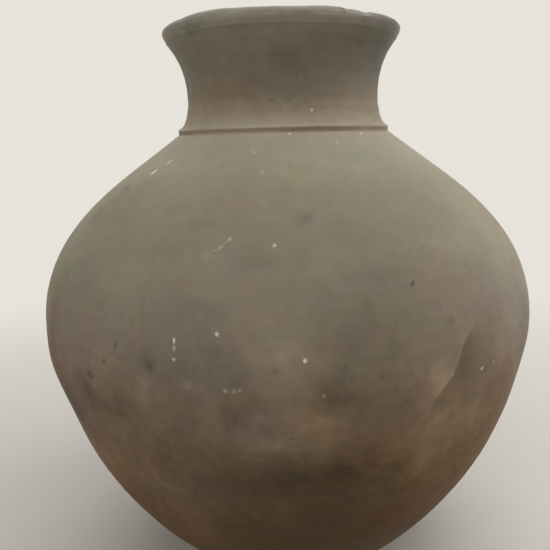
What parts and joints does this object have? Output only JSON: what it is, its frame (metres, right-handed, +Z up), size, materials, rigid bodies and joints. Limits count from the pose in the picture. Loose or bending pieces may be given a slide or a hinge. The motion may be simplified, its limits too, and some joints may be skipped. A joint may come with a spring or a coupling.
{
  "type": "raku vase",
  "caption": "Large round-bellied raku vase with a small foot, a short waisted neck in a square-edged collar and a thick rounded lip, for dry display or stems.",
  "frame": {"origin": "middle of the foot's underside, on the surface that the vase stands on", "axes": "+Z up along the vase's axis; the vase is round, and the picture looks along +Y with +X to the right"},
  "size_m": [0.32, 0.32, 0.3596],
  "materials": {
    "body_clay": "matte smoke-fired clay, olive grey with mauve and brown clouds, dark towards the foot",
    "neck_clay": "matte smoke-fired clay, dark brown grey, paler on the lip",
    "foot_clay": "matte clay, smoked nearly black",
    "inner_clay": "matte clay, rough and dark inside"
  },
  "bodies": {
    "root": {"foot_ring": "foot_clay", "floor_disc": "inner_clay", "lower_wall": "body_clay", "belly_seam_coil": "inner_clay", "upper_wall": "body_clay", "neck_seam_coil": "inner_clay", "neck_collar": "neck_clay", "lip_ring": "neck_clay"}
  },
  "joints": []
}
